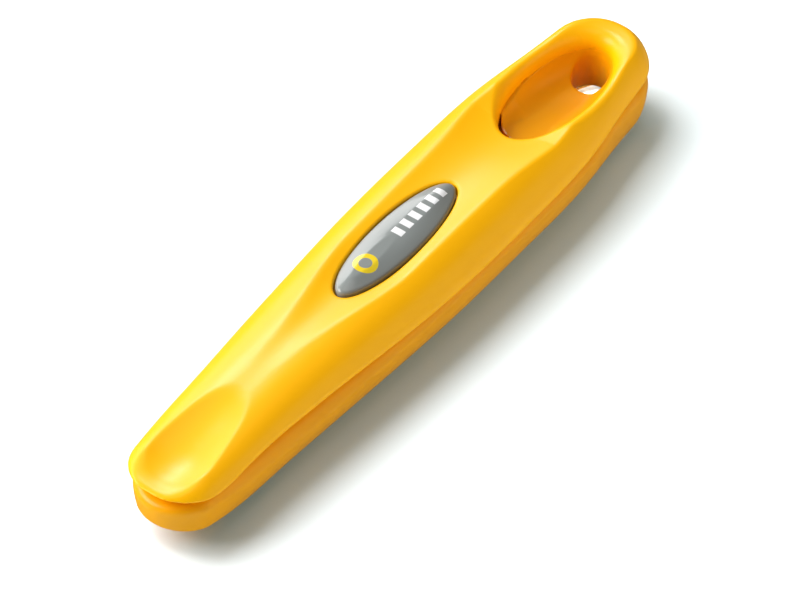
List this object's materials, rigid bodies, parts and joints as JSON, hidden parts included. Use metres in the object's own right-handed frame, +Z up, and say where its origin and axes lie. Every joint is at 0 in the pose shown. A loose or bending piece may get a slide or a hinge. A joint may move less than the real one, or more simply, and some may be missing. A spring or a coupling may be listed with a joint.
{
  "type": "tyre lever",
  "caption": "Two plastic tyre levers nested face to face, with scooped tips, an oval finger ring, a domed badge and soft rim pads.",
  "frame": {"origin": "centre of the bounding box's bottom face, under the middle of the nested pair", "axes": "+X from the scooped tips to the finger ring, +Z up from the resting face, Y across the levers"},
  "size_m": [0.12, 0.0236, 0.0167],
  "materials": {
    "yellow_nylon": "satin",
    "badge_grey": "gloss",
    "rim_pad_rubber": "matte"
  },
  "bodies": {
    "lower": {"lower_lever": "yellow_nylon", "lower_rim_pad": "rim_pad_rubber"},
    "upper": {"upper_lever": "yellow_nylon", "badge": "badge_grey", "upper_rim_pad": "rim_pad_rubber"}
  },
  "joints": [
    {"name": "lift_off", "type": "slide", "parent": "lower", "child": "upper", "axis": [0, 0, 1], "range_m": [0, 0.03]}
  ]
}
